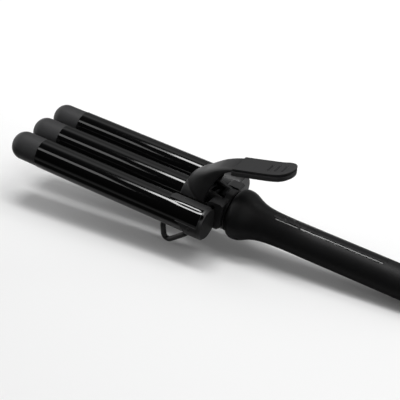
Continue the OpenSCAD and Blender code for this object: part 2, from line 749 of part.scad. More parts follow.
at_rest() barrel(-pitch, barrel_end);  // near_barrel
at_rest() barrel(0, jaw_end);  // middle_barrel
at_rest() barrel(pitch, barrel_end);  // far_barrel
at_rest() tip_cap(-pitch);  // near_tip_cap
at_rest() tip_cap(0);  // middle_tip_cap
at_rest() tip_cap(pitch);  // far_tip_cap
at_rest() heater(-pitch);  // near_heater
at_rest() heater(0);  // middle_heater
at_rest() heater(pitch);  // far_heater
at_rest() heat_spreaders(-pitch);  // near_heat_spreaders
at_rest() heat_spreaders(0);  // middle_heat_spreaders
at_rest() heat_spreaders(pitch);  // far_heat_spreaders
at_rest() lead(-1);  // near_lead
at_rest() lead(1);  // far_lead
at_rest() holder(-1);  // near_holder
at_rest() holder(1);  // far_holder
at_rest() holder_screws();
at_rest() yoke_frame();
at_rest() hinge_pin();
at_rest() torsion_spring();
at_rest() neck_ring();
at_rest() lever_arm();
at_rest() lever_pad();
at_rest() middle_end_plug();
at_rest() saddle_screws();
at_rest() stand_wire();
at_rest() handle_upper_shell();
at_rest() handle_lower_shell();
at_rest() handle_screws();
at_rest() control_strip();
at_rest() power_button();
at_rest() temp_button(minus_x);  // minus_button
at_rest() temp_button(plus_x);  // plus_button
at_rest() indicator_lens();
at_rest() display_window();
at_rest() circuit_board();
at_rest() board_switches();
at_rest() board_screws();
at_rest() tail_cap();
at_rest() cord_gland();
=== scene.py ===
import math

import bmesh
import bpy
from mathutils import Matrix, Vector


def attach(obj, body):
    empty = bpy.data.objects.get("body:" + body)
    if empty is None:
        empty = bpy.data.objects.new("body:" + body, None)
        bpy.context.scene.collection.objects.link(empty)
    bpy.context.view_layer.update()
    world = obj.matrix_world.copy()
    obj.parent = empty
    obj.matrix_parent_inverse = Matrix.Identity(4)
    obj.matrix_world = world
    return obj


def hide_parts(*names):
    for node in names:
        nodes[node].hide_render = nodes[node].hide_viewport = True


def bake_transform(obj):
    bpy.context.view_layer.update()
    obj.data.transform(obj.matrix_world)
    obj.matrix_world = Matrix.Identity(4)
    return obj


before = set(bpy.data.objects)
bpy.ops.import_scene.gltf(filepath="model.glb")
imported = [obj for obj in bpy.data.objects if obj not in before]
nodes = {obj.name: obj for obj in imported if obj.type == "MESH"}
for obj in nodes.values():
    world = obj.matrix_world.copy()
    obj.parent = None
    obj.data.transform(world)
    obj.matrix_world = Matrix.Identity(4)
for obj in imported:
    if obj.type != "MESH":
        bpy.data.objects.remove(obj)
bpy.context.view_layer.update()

# Shapes are drawn in millimetres along the tool, tips at x = 0, and then laid on the stand
millimetre = 0.001
rest = {"tilt": 5.8, "place": (-0.191691, 0, 0.050752)}
toolToRest = (Matrix.Translation(rest["place"]) @ Matrix.Rotation(math.radians(rest["tilt"]), 4, "Y")
              @ Matrix.Scale(millimetre, 4))
weld = 0.001  # points of a shape closer than this, in millimetres, become one
solidWeld = 2e-6  # the same in metres, for the mesh of a solid

view = {"place": (0.3193, -0.5794, 0.4695), "right": (0.8576, 0.5143, 0.0), "up": (-0.2800, 0.4668, 0.8389),
        "lens": 90.38, "sensor": 36, "reach": 20}


def makeCamera():
    data = bpy.data.cameras.new("camera")
    data.lens = view["lens"]
    data.sensor_width = view["sensor"]
    data.sensor_fit = "HORIZONTAL"
    data.clip_end = view["reach"]
    camera = bpy.data.objects.new("camera", data)
    right = Vector(view["right"]).normalized()
    up = Vector(view["up"])
    up = (up - up.project(right)).normalized()
    turn = Matrix((right, up, right.cross(up))).transposed()
    camera.matrix_world = Matrix.Translation(view["place"]) @ turn.to_4x4()
    bpy.context.scene.collection.objects.link(camera)
    bpy.context.scene.camera = camera


def looseObject(name, bm):
    mesh = bpy.data.meshes.new(name)
    bm.to_mesh(mesh)
    bm.free()
    loose = bpy.data.objects.new(name, mesh)
    bpy.context.scene.collection.objects.link(loose)
    return loose


def lamp(name, place, size, radiance):
    # A softbox hung flat over the table
    data = bpy.data.lights.new(name, "AREA")
    data.shape = "RECTANGLE"
    data.size, data.size_y = size
    data.energy = radiance * math.pi * size[0] * size[1]
    light = bpy.data.objects.new(name, data)
    light.location = (*place, studio["lampHeight"])
    bpy.context.scene.collection.objects.link(light)


def addNode(tree, kind, **values):
    # A node with its settings and inputs, where an input's name has underscores for its blanks
    node = tree.nodes.new("ShaderNode" + kind)
    for label, value in values.items():
        if hasattr(node, label):
            setattr(node, label, value)
        else:
            node.inputs[label.replace("_", " ")].default_value = value
    return node


def mathNode(tree, operation, second=None):
    node = addNode(tree, "Math", operation=operation)
    if second is not None:
        node.inputs[1].default_value = second
    return node


def toneRamp(tree, tones):
    # A ramp of greys from (place, tone) pairs
    ramp = addNode(tree, "ValToRGB")
    steps = ramp.color_ramp.elements
    for place, tone in tones[2:]:
        steps.new(place)
    for step, (place, tone) in zip(steps, tones):
        step.position = place
        step.color = (tone, tone, tone, 1)
    return ramp


studio = {
    # Greys over the tool from the horizon in front (0) to the one behind (1), and at both ends
    "tones": ((0.0, 0.13), (0.07, 0.19), (0.14, 0.25), (0.205, 0.23), (0.27, 0.46), (0.335, 0.66), (0.36, 0.42),
              (0.40, 0.10), (0.46, 0.03), (1.0, 0.01)),
    "endTone": 1.2, "endFrom": 0.62, "endTo": 0.74, "lampHeight": 1.05,
    # Each softbox: its place over the table, its size and its radiance
    "lamps": {"keyBox": ((-0.24, 0.095), (0.33, 0.23), 15.0), "handleBox": ((0.01, 0.11), (0.17, 0.10), 24.0),
              "frontBox": ((-0.16, -0.26), (0.08, 0.12), 6.0), "keyEdge": ((-0.43, 0.095), (0.06, 0.20), 3.5),
              "tipBox": ((-0.68, -0.57), (0.30, 0.32), 2.2), "fillBox": ((0.50, 0.20), (0.7, 0.7), 4.0)}}


def makeStudio():
    # White where the camera sees it; a broad soft light behind the tool for everything else
    world = bpy.data.worlds.new("studio")
    bpy.context.scene.world = world
    world.use_nodes = True
    tree = world.node_tree
    tree.nodes.clear()
    out = addNode(tree, "OutputWorld")
    mix = addNode(tree, "MixShader")
    path = addNode(tree, "LightPath")
    seen = addNode(tree, "Background", Color=(1, 1, 1, 1))
    fill = addNode(tree, "Background")
    coord = addNode(tree, "TexCoord")
    split = addNode(tree, "SeparateXYZ")
    height = mathNode(tree, "ARCTAN2")
    part = mathNode(tree, "DIVIDE", math.pi)
    ramp = toneRamp(tree, studio["tones"])
    along = mathNode(tree, "ABSOLUTE")
    atEnds = addNode(tree, "MapRange", From_Min=studio["endFrom"], From_Max=studio["endTo"],
                     To_Max=studio["endTone"])
    both = mathNode(tree, "MAXIMUM")
    link = tree.links.new
    link(coord.outputs["Generated"], split.inputs[0])
    link(split.outputs["Z"], height.inputs[0])
    link(split.outputs["Y"], height.inputs[1])
    link(height.outputs[0], part.inputs[0])
    link(part.outputs[0], ramp.inputs[0])
    link(split.outputs["X"], along.inputs[0])
    link(along.outputs[0], atEnds.inputs["Value"])
    link(atEnds.outputs[0], both.inputs[0])
    link(ramp.outputs[0], both.inputs[1])
    link(both.outputs[0], fill.inputs["Color"])
    link(path.outputs["Is Camera Ray"], mix.inputs[0])
    link(fill.outputs[0], mix.inputs[1])
    link(seen.outputs[0], mix.inputs[2])
    link(mix.outputs[0], out.inputs[0])
    for name, (place, size, radiance) in studio["lamps"].items():
        lamp(name, place, size, radiance)


paper = {
    "reach": 6, "rough": 0.9, "grey": 0.84,
    # Painted shade: greys that only reflections and bounced light see, across the table, dark in front of the tool
    # and black in a band just before it, and their smaller share under the handle; they stand in for the table's
    # shade
    "tones": ((0.0, 0.05), (0.25, 0.12), (0.42, 0.28), (0.437, 0.03), (0.465, 0.03), (0.478, 0.6), (0.486, 0.9)),
    "shadeUnderFrom": -0.02, "shadeUnderTo": 0.03, "shadeUnderShare": 0.3,
    # Painted light: a glow that only the camera sees, from the front left to the far right, strongest at both ends,
    # which lightens the floor and its shadow there
    "glow": ((0.0, 0.16), (0.22, 0.03), (0.44, 0.0), (1.0, 0.27)), "glowSlant": -0.45, "glowReach": 0.5}


def makeFloor():
    p = paper
    bm = bmesh.new()
    bmesh.ops.create_grid(bm, x_segments=1, y_segments=1, size=p["reach"])
    floor = looseObject("floor", bm)
    material = bpy.data.materials.new("backgroundPaper")
    material.use_nodes = True
    tree = material.node_tree
    shader = tree.nodes["Principled BSDF"]
    shader.inputs["Roughness"].default_value = p["rough"]
    shader.inputs["Specular IOR Level"].default_value = 0.0
    shader.inputs["Emission Color"].default_value = (1, 1, 1, 1)
    path = addNode(tree, "LightPath")
    coord = addNode(tree, "TexCoord")
    split = addNode(tree, "SeparateXYZ")
    across = addNode(tree, "MapRange", From_Min=-1, From_Max=1)
    # Painted shade: the table's greys for every ray but the camera's, from the ramp across it and dimmed under the
    # handle
    ramp = toneRamp(tree, p["tones"])
    under = addNode(tree, "MapRange", From_Min=p["shadeUnderFrom"], From_Max=p["shadeUnderTo"], To_Min=1.0,
                    To_Max=p["shadeUnderShare"])
    shade = mathNode(tree, "MULTIPLY")
    mix = addNode(tree, "Mix", data_type="RGBA", B=(p["grey"], p["grey"], p["grey"], 1))
    # Painted light: an uneven camera-only glow along a slant across the floor, lifting the floor and the shadow on
    # it
    slant = mathNode(tree, "MULTIPLY_ADD", p["glowSlant"])
    away = addNode(tree, "MapRange", From_Min=-p["glowReach"], From_Max=p["glowReach"])
    glow = toneRamp(tree, p["glow"])
    lift = mathNode(tree, "MULTIPLY")
    link = tree.links.new
    link(coord.outputs["Object"], split.inputs[0])
    link(split.outputs["Y"], across.inputs["Value"])
    link(across.outputs[0], ramp.inputs[0])
    link(split.outputs["X"], under.inputs["Value"])
    link(ramp.outputs[0], shade.inputs[0])
    link(under.outputs[0], shade.inputs[1])
    link(path.outputs["Is Camera Ray"], mix.inputs["Factor"])
    link(shade.outputs[0], mix.inputs["A"])
    link(mix.outputs["Result"], shader.inputs["Base Color"])
    link(split.outputs["X"], slant.inputs[0])
    link(split.outputs["Y"], slant.inputs[2])
    link(slant.outputs[0], away.inputs["Value"])
    link(away.outputs[0], glow.inputs[0])
    link(path.outputs["Is Camera Ray"], lift.inputs[0])
    link(glow.outputs[0], lift.inputs[1])
    link(lift.outputs[0], shader.inputs["Emission Strength"])
    floor.data.materials.append(material)


def effectGroup(name, inputs, outputs):
    group = bpy.data.node_groups.new(name, "ShaderNodeTree")
    for label, kind, value in inputs:
        socket = group.interface.new_socket(label, in_out="INPUT", socket_type="NodeSocket" + kind)
        socket.default_value = value
    for label, kind in outputs:
        group.interface.new_socket(label, in_out="OUTPUT", socket_type="NodeSocket" + kind)
    return group, group.nodes.new("NodeGroupInput"), group.nodes.new("NodeGroupOutput")


grainLook = {"fineScale": 2600, "fineDetail": 3.0, "fineRough": 0.6, "cloudScale": 55.0, "cloudDetail": 4.0,
             "cloudGloss": 0.5}


def makeMouldedGrain():
    # Fine spark-eroded grain of a moulding, with broad cloudy changes of tone and gloss
    g = grainLook
    group, start, end = effectGroup("mouldedGrain", [
        ("Base", "Color", (0.1, 0.1, 0.1, 1)), ("Rough", "Float", 0.5), ("Size", "Float", 1.0),
        ("Cloud", "Float", 0.1)], [("Color", "Color"), ("Roughness", "Float"), ("Height", "Float")])
    coord = addNode(group, "TexCoord")
    size = mathNode(group, "MULTIPLY", g["fineScale"])
    fine = addNode(group, "TexNoise", Detail=g["fineDetail"], Roughness=g["fineRough"])
    broad = addNode(group, "TexNoise", Scale=g["cloudScale"], Detail=g["cloudDetail"])
    tone = addNode(group, "MapRange", To_Min=-0.5, To_Max=0.5)
    scaled = mathNode(group, "MULTIPLY")
    bright = mathNode(group, "ADD", 1.0)
    colour = addNode(group, "VectorMath", operation="SCALE")
    rough = mathNode(group, "MULTIPLY_ADD", g["cloudGloss"])
    link = group.links.new
    link(start.outputs["Size"], size.inputs[0])
    link(size.outputs[0], fine.inputs["Scale"])
    link(coord.outputs["Object"], fine.inputs["Vector"])
    link(coord.outputs["Object"], broad.inputs["Vector"])
    link(broad.outputs["Fac"], tone.inputs["Value"])
    link(tone.outputs[0], scaled.inputs[0])
    link(start.outputs["Cloud"], scaled.inputs[1])
    link(scaled.outputs[0], bright.inputs[0])
    link(start.outputs["Base"], colour.inputs[0])
    link(bright.outputs[0], colour.inputs["Scale"])
    link(scaled.outputs[0], rough.inputs[0])
    link(start.outputs["Rough"], rough.inputs[2])
    link(colour.outputs[0], end.inputs["Color"])
    link(rough.outputs[0], end.inputs["Roughness"])
    link(fine.outputs["Fac"], end.inputs["Height"])
    return group


marksLook = {"smearScale": 38.0, "smearDetail": 6.0, "smearRough": 0.65, "smearTwist": 0.8, "smearFrom": 0.5,
             "smearTo": 0.78, "scratchScale": (60, 1500, 1500), "scratchDetail": 2.0, "scratchFrom": 0.70,
             "scratchTo": 0.78}


def makeHandling():
    # Faint smears and hairline scratches from use, as a mask of 0 to 1
    k = marksLook
    group, start, end = effectGroup("handlingMarks", [
        ("Smears", "Float", 0.3), ("Scratches", "Float", 0.2)], [("Mask", "Float"), ("Height", "Float")])
    coord = addNode(group, "TexCoord")
    stretch = addNode(group, "Mapping", Scale=k["scratchScale"])
    smear = addNode(group, "TexNoise", Scale=k["smearScale"], Detail=k["smearDetail"], Roughness=k["smearRough"],
                    Distortion=k["smearTwist"])
    hair = addNode(group, "TexNoise", Scale=1.0, Detail=k["scratchDetail"])
    both = mathNode(group, "MAXIMUM")
    link = group.links.new
    link(coord.outputs["Object"], smear.inputs["Vector"])
    link(coord.outputs["Object"], stretch.inputs["Vector"])
    link(stretch.outputs[0], hair.inputs["Vector"])
    for slot, (noise, kind, label) in enumerate(((smear, "smear", "Smears"), (hair, "scratch", "Scratches"))):
        picked = addNode(group, "MapRange", From_Min=k[kind + "From"], From_Max=k[kind + "To"])
        strength = mathNode(group, "MULTIPLY")
        link(noise.outputs["Fac"], picked.inputs["Value"])
        link(picked.outputs[0], strength.inputs[0])
        link(start.outputs[label], strength.inputs[1])
        link(strength.outputs[0], both.inputs[slot])
    link(both.outputs[0], end.inputs["Mask"])
    link(strength.outputs[0], end.inputs["Height"])
    return group


mouldedGrain = makeMouldedGrain()
handlingMarks = makeHandling()


def placeGroup(tree, group, **values):
    node = tree.nodes.new("ShaderNodeGroup")
    node.node_tree = group
    for label, value in values.items():
        node.inputs[label].default_value = value
    return node


finishLook = {"markedRough": 0.18, "grainHeight": 0.0001}


def finish(name, colour, rough, specular=0.5, grainSize=1.0, grainDepth=0.15, cloud=0.15, metallic=0.0,
           smears=0.2, scratches=0.1):
    # One moulded, painted or metal finish: grain and clouds under marks of handling
    material = bpy.data.materials.new(name)
    material.use_nodes = True
    tree = material.node_tree
    shader = tree.nodes["Principled BSDF"]
    shader.inputs["Metallic"].default_value = metallic
    shader.inputs["Specular IOR Level"].default_value = specular
    grain = placeGroup(tree, mouldedGrain, Base=(*colour, 1), Rough=rough, Size=grainSize, Cloud=cloud)
    marks = placeGroup(tree, handlingMarks, Smears=smears, Scratches=scratches)
    rougher = mathNode(tree, "MULTIPLY_ADD", finishLook["markedRough"])
    bump = addNode(tree, "Bump", Strength=grainDepth, Distance=finishLook["grainHeight"])
    link = tree.links.new
    link(grain.outputs["Color"], shader.inputs["Base Color"])
    link(marks.outputs["Mask"], rougher.inputs[0])
    link(grain.outputs["Roughness"], rougher.inputs[2])
    link(rougher.outputs[0], shader.inputs["Roughness"])
    link(grain.outputs["Height"], bump.inputs["Height"])
    link(bump.outputs[0], shader.inputs["Normal"])
    return material


barrelBlack = finish("barrelBlack", (0.0015, 0.0015, 0.0016), 0.07, specular=0.5, grainDepth=0.0, cloud=0.05,
                     smears=0.25, scratches=0.15)
matteBlack = finish("matteBlack", (0.030, 0.030, 0.031), 0.52, specular=0.35, grainDepth=0.35)
armBlack = finish("armBlack", (0.014, 0.014, 0.0145), 0.37, specular=0.34, grainDepth=0.12)
softTouch = finish("softTouch", (0.0055, 0.0055, 0.0058), 0.50, specular=0.24, grainSize=1.6, grainDepth=0.25,
                   cloud=0.2)
# Painted light: the skirt belongs to the same moulded arm as armBlack, yet its black is more than twice as light,
# standing in for light on its side that faces the camera
skirtBlackPaintedLight = finish("skirtBlackPaintedLight", (0.034, 0.034, 0.035), 0.5, specular=0.35, grainDepth=0.12)
padBlack = finish("padBlack", (0.018, 0.018, 0.0185), 0.6, specular=0.3, grainSize=1.6, grainDepth=0.25)
yokeBlack = finish("yokeBlack", (0.015, 0.015, 0.0155), 0.38, specular=0.4, grainDepth=0.3)
standBlack = finish("standBlack", (0.006, 0.006, 0.0065), 0.35, specular=0.45, grainDepth=0.1)
tipBlack = finish("tipBlack", (0.027, 0.027, 0.028), 0.5, specular=0.35, grainDepth=0.35)
holderBlack = finish("holderBlack", (0.022, 0.022, 0.0225), 0.42, specular=0.3, grainDepth=0.2)
neckBlack = finish("neckBlack", (0.006, 0.006, 0.0062), 0.5, specular=0.3, grainDepth=0.2)
keyBlack = finish("keyBlack", (0.003, 0.003, 0.0032), 0.12, specular=0.5, grainDepth=0.05, smears=0.3)
windowGlass = finish("windowGlass", (0.0015, 0.0015, 0.002), 0.03, specular=0.5, grainDepth=0.0, smears=0.25)
pinSteel = finish("pinSteel", (0.05, 0.05, 0.051), 0.3, metallic=1.0, grainDepth=0.1)
springSteel = finish("springSteel", (0.035, 0.035, 0.036), 0.22, metallic=1.0, grainDepth=0.05)
glossBlack = finish("glossBlack", (0.002, 0.002, 0.0022), 0.05, specular=0.5, grainDepth=0.0, cloud=0.05,
                    smears=0.2, scratches=0.1)
lensSmoke = finish("lensSmoke", (0.02, 0.02, 0.022), 0.08, specular=0.5, grainDepth=0.0)
plainSteel = finish("plainSteel", (0.5, 0.5, 0.5), 0.28, metallic=1.0, grainDepth=0.1)
rawAluminium = finish("rawAluminium", (0.62, 0.63, 0.65), 0.35, metallic=1.0, grainDepth=0.15)
heaterFilm = finish("heaterFilm", (0.45, 0.20, 0.04), 0.25, grainDepth=0.05)
leadSilicone = finish("leadSilicone", (0.55, 0.52, 0.48), 0.6, grainDepth=0.2)
screwBlack = finish("screwBlack", (0.02, 0.02, 0.0205), 0.35, specular=0.5, grainDepth=0.1)
boardGreen = finish("boardGreen", (0.02, 0.12, 0.05), 0.3, grainDepth=0.05)
print("finishes made")


def markEdges(bm, limit):
    for face in bm.faces:
        face.smooth = True
    for edge in bm.edges:
        edge.smooth = not (len(edge.link_faces) == 2 and edge.calc_face_angle(0) > limit)


def makePiece(bm, name, body, material, replaced, inTool=True, limit=35, outward=True):
    if inTool:
        bmesh.ops.transform(bm, matrix=toolToRest, verts=bm.verts)
    if outward:
        bmesh.ops.recalc_face_normals(bm, faces=bm.faces)
    markEdges(bm, math.radians(limit))
    mesh = bpy.data.meshes.new(name)
    bm.to_mesh(mesh)
    bm.free()
    piece = bpy.data.objects.new(name, mesh)
    bpy.context.scene.collection.objects.link(piece)
    mesh.materials.append(material)
    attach(piece, body)
    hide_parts(*replaced)
    return piece


def roundEdges(piece, width, segments=2, limit=40):
    edge = piece.modifiers.new("roundedEdges", "BEVEL")
    edge.width = width * millimetre
    edge.segments = segments
    edge.limit_method = "ANGLE"
    edge.angle_limit = math.radians(limit)
    edge.harden_normals = True
    edge.use_clamp_overlap = True


def spunShape(outline, steps=128, y=0.0, angle=360, start=0):
    # Turns an outline of (place along the tool, radius) round the tool's axis
    bm = bmesh.new()
    verts = [bm.verts.new((x, y, r)) for x, r in outline]
    edges = [bm.edges.new(pair) for pair in zip(verts, verts[1:])]
    if start:
        bmesh.ops.rotate(bm, cent=(0, y, 0), matrix=Matrix.Rotation(math.radians(start), 3, "X"), verts=verts)
    bmesh.ops.spin(bm, geom=verts + edges, cent=(0, y, 0), axis=(1, 0, 0), angle=math.radians(angle),
                   steps=steps, use_merge=(angle == 360))
    bmesh.ops.remove_doubles(bm, verts=bm.verts, dist=weld)
    return bm


def closed(outline):
    return outline + outline[:1]


def readBack(loose):
    # The mesh that an object's modifiers or its curve give
    done = bpy.data.meshes.new_from_object(loose.evaluated_get(bpy.context.evaluated_depsgraph_get()))
    bm = bmesh.new()
    bm.from_mesh(done)
    bpy.data.meshes.remove(done)
    return bm


def settled(loose, others=()):
    bm = readBack(loose)
    for each in (loose, *others):
        bpy.data.meshes.remove(each.data)
    return bm


def carve(bm, cutters):
    # Cuts closed shapes out of a closed shape
    bmesh.ops.recalc_face_normals(bm, faces=bm.faces)
    block = looseObject("block", bm)
    tools = []
    for cutter in cutters:
        bmesh.ops.recalc_face_normals(cutter, faces=cutter.faces)
        tools.append(looseObject("cutter", cutter))
        cut = block.modifiers.new("cut", "BOOLEAN")
        cut.operation = "DIFFERENCE"
        cut.solver = "EXACT"
        cut.object = tools[-1]
    return settled(block, tools)


def prism(outline, low, high):
    bm = bmesh.new()
    face = bm.faces.new([bm.verts.new((x, y, low)) for x, y in outline])
    raised = bmesh.ops.extrude_face_region(bm, geom=[face])["geom"]
    bmesh.ops.translate(bm, vec=(0, 0, high - low), verts=[g for g in raised if isinstance(g, bmesh.types.BMVert)])
    return bm


def around(halfWidth, stations):
    # The outline of a shape that is as wide at each station as halfWidth says
    near = [(x, -halfWidth(x)) for x in stations]
    rear = [(x, halfWidth(x)) for x in reversed(stations) if halfWidth(x) > 0.001]
    return [p for i, p in enumerate(near + rear) if i == 0 or p != (near + rear)[i - 1]]


def pillWidth(x0, x1, half):
    return lambda x: math.sqrt(max(0.0, half ** 2 - max(0.0, x0 + half - x, x - x1 + half) ** 2))


def pillStations(x0, x1, half, middle=6, arc=10):
    turn = [half * (1 - math.cos(math.pi / 2 * i / arc)) for i in range(arc + 1)]
    straight = [x0 + half + (x1 - x0 - 2 * half) * i / middle for i in range(1, middle)]
    return [x0 + t for t in turn] + straight + [x1 - t for t in reversed(turn)]


def plateShape(stations, halfWidth, surface, spread, rim):
    # A grid drawn to an outline and laid on a surface, its border let down in (outwards, down) steps
    bm = bmesh.new()
    columns, rows = len(stations) - 1, len(spread) - 1
    bmesh.ops.create_grid(bm, x_segments=columns, y_segments=rows, size=1)
    for v in bm.verts:
        x = stations[round((v.co.x + 1) / 2 * columns)]
        y = spread[round((v.co.y + 1) / 2 * rows)] * halfWidth(x)
        v.co = (x, y, surface(x, y))
    bmesh.ops.remove_doubles(bm, verts=bm.verts, dist=2 * weld)
    bm.normal_update()
    ring = {}
    for v in [v for v in bm.verts if v.is_boundary]:
        sides = [-e.calc_tangent(e.link_loops[0]) for e in v.link_edges if e.is_boundary]
        sides = [Vector((s.x, s.y, 0)).normalized() for s in sides]
        ring[v] = (v.co.copy(), (sides[0] + sides[1]) / (1 + sides[0].dot(sides[1])))
    for out, down in rim:
        edges = [e for e in bm.edges if e.is_boundary]
        made = bmesh.ops.extrude_edge_only(bm, edges=edges)["geom"]
        fresh = {}
        for v in [g for g in made if isinstance(g, bmesh.types.BMVert)]:
            old = next(e.other_vert(v) for e in v.link_edges if e.other_vert(v) in ring)
            at, push = fresh[v] = ring[old]
            v.co = at + push * out - Vector((0, 0, down))
        ring = fresh
    bmesh.ops.triangle_fill(bm, use_beauty=True, use_dissolve=False, edges=[e for e in bm.edges if e.is_boundary])
    return bm


def quarter(radius, steps=5):
    # Steps of a rim that rounds a plate's edge
    turn = [math.pi / 2 * i / steps for i in range(1, steps + 1)]
    return [(radius * math.sin(a), radius * (1 - math.cos(a))) for a in turn]


def evenSpread(count):
    return [-1 + 2 * i / count for i in range(count + 1)]


def join(bm, other):
    mesh = bpy.data.meshes.new("joined")
    other.to_mesh(mesh)
    other.free()
    bm.from_mesh(mesh)
    bpy.data.meshes.remove(mesh)
    return bm


def softened(node, material, body, width, limit=30, flat=0.6):
    # A copy of a CAD node's mesh, merged, with its sharp edges rounded
    bm = bmesh.new()
    bm.from_mesh(nodes[node].data)
    bmesh.ops.remove_doubles(bm, verts=bm.verts, dist=solidWeld)
    bmesh.ops.dissolve_limit(bm, angle_limit=math.radians(flat), verts=bm.verts, edges=bm.edges,
                             delimit={"NORMAL"})
    piece = makePiece(bm, node + "Shaped", body, material, [node], inTool=False, limit=limit,
                      outward=False)
    roundEdges(piece, width, 3, limit)


def moulded(node, voxel, rounds):
    # A copy of a CAD node's mesh with every corner softly rounded, as a moulding has them
    bm = bmesh.new()
    bm.from_mesh(nodes[node].data)
    bmesh.ops.remove_doubles(bm, verts=bm.verts, dist=solidWeld)
    loose = looseObject("moulding", bm)
    skin = loose.modifiers.new("skin", "REMESH")
    skin.mode = "VOXEL"
    skin.voxel_size = voxel * millimetre
    soften = loose.modifiers.new("soften", "SMOOTH")
    soften.factor = 0.5
    soften.iterations = rounds
    return settled(loose)


def clamp(part):
    return min(1.0, max(0.0, part))


def smooth(part):
    # A ramp from 0 to 1 with soft ends
    part = clamp(part)
    return part * part * (3 - 2 * part)


barrels = {"radius": 12.5, "bore": 11.7, "start": 29, "end": 185, "jawEnd": 178, "pitch": 28, "lip": 0.3,
           "frontRings": (0.6, 1.2, 3), "rings": (60, 100, 140), "jawRings": (160, 170, 176, 177, 177.4),
           "steps": 360, "jawSteps": 160, "dishRings": (150, *(153 + i * 1.05 for i in range(31))),
           "dishStart": 153, "dishEnd": 186, "dishRise": 15, "dishFall": 6, "dishDepth": 0.2, "dishAngle": 15.5,
           "dishDrift": 3, "dishUnder": 4.7, "dishOver": 10}
barrelPlaces = (("near", -barrels["pitch"], "handle"), ("middle", 0, "jaw"), ("far", barrels["pitch"], "handle"))


def barrelDish(x, angle):
    # The shallow dish along the edge of a holder's window, steeper towards the holder
    b = barrels
    part = smooth(min((x - b["dishStart"]) / b["dishRise"], (b["dishEnd"] - x) / b["dishFall"]))
    off = angle - b["dishAngle"] - b["dishDrift"] * (1 - part)
    return b["dishDepth"] * part * math.exp(-(off / (b["dishUnder"] if off < 0 else b["dishOver"])) ** 2)


def makeBarrels():
    b = barrels
    lip, radius = b["lip"], b["radius"]
    for name, y, body in barrelPlaces:
        fixed = body == "handle"
        end = b["end"] if fixed else b["jawEnd"]
        outline = [(b["start"], b["bore"]), (b["start"], radius - lip)]
        outline += [(b["start"] + lip * (1 - math.cos(a)), radius - lip * (1 - math.sin(a))) for a in (0.5, 1.0)]
        outline += [(b["start"] + x, radius) for x in (lip, *b["frontRings"])]
        outline += [(x, radius) for x in b["rings"] + (b["dishRings"] if fixed else b["jawRings"])]
        outline += [(end - lip * (1 - math.sin(a)), radius - lip * (1 - math.cos(a)))
                    for a in (0.0, 0.5, 1.0, math.pi / 2)]
        outline += [(end, b["bore"])]
        bm = spunShape(closed(outline), b["steps"] if fixed else b["jawSteps"], y)
        if fixed:
            for v in bm.verts:
                if v.co.x > b["dishStart"] + 1 and math.hypot(v.co.y - y, v.co.z) > b["bore"] + lip:
                    angle = math.degrees(math.atan2(math.copysign(1, y) * (v.co.y - y), v.co.z))
                    part = 1 - barrelDish(v.co.x, angle) / radius
                    v.co.y = y + (v.co.y - y) * part
                    v.co.z *= part
        makePiece(bm, name + "BarrelTube", body, barrelBlack, [name + "_barrel"], limit=30)


tips = {"radius": 12.0, "round": 10, "flat": 2.0, "wall": 1.3, "plug": 10, "plugWall": 1.4, "plugFit": 0.1,
        "rings": (11, 14, 20, 26, 28, 28.5, 28.7), "edge": ((0.1, 0.07), (0.0, 0.25)), "steps": 96}


def makeTips():
    t = tips
    end, floor = barrels["start"], t["round"] + t["wall"]
    plug, hollow = barrels["bore"] - t["plugFit"], barrels["bore"] - t["plugWall"]
    turn = [math.radians(a) for a in range(0, 91, 5)]
    for name, y, body in barrelPlaces:
        outline = [(0, 0)] + [(t["round"] * (1 - math.cos(a)), t["flat"] + t["round"] * math.sin(a))
                              for a in turn]
        outline += [(x, t["radius"]) for x in t["rings"]]
        outline += [(end - back, t["radius"] - inset) for back, inset in t["edge"]]
        outline += [(end, plug), (end + t["plug"], plug), (end + t["plug"], hollow), (floor, hollow), (floor, 0)]
        bm = spunShape(outline, t["steps"], y)
        makePiece(bm, name + "TipCap", body, tipBlack, [name + "_tip_cap"])


handle = {"front": 196.4, "neck": 15.0, "bulb": 20.6, "bulbX": 202.4, "bulbFront": 6, "taper": 44,
          "waist": 0.28, "waistPower": 2.7, "taperSteps": 40, "grip": 12.8, "gripRings": (260, 300, 335),
          "wall": 2.4, "seam": 368, "flange": 199.5, "spigot": 10.6, "steps": 80, "edge": 0.3,
          "screws": ((207.4, 14.42), (207.4, -14.42), (350, 0)), "screwFloor": -4, "screwRadius": 1.9,
          "screwFit": 0.05, "fit": 0.1, "keyFit": 0.3, "cutLow": 5, "cutHigh": 15, "under": -25, "bed": 0.02}
keyNames = ("power", "minus", "plus")
strip = {"start": 230.4, "end": 324.4, "half": 4.5, "top": 13.1, "low": 11.1, "fit": 0.15, "stations": (60, 14),
         # The shoulder's first slope and its arcs, each a radius and the slope at its end
         "bend": 3.17, "slope": 14, "keyArcs": ((1.0, 30), (10.8, 36)), "windowArcs": ((3.7, 34),),
         "spread": (0.2, 0.4, 0.6, 0.71, *(0.73 + 0.27 * i / 9 for i in range(10))),
         "rim": ((0.1, 0.03), (0.15, 0.12), (0.15, 1.2)), "sideTop": 11.9, "edge": 0.06,
         "dip": 0.25, "dipEdge": 0.25, "dips": ((236.4, 238.0), (240.9, 242.3), (252.4, 253.5), (264.5, 266.9)),
         "lens": 239.4, "lensRadius": 1.2, "lensCrown": 0.25, "lensRim": ((0.07, 0.03), (0.1, 0.1), (0.1, 3.2)),
         "window": (267.25, 319.25), "windowHalf": 3.0, "glassFit": 0.1,
         "glassRim": ((0.07, 0.03), (0.1, 0.1), (0.1, 0.7)),
         # Each key's middle and length
         "power": (247.4, 9.5), "minus": (256.05, 4.8), "plus": (261.85, 4.8), "keyHalf": 3.0, "keyCorner": 0.5,
         "keyRound": 0.25, "keyTip": 0.3, "keySink": 0.02, "keyDeep": 3.2, "proud": 0.3}


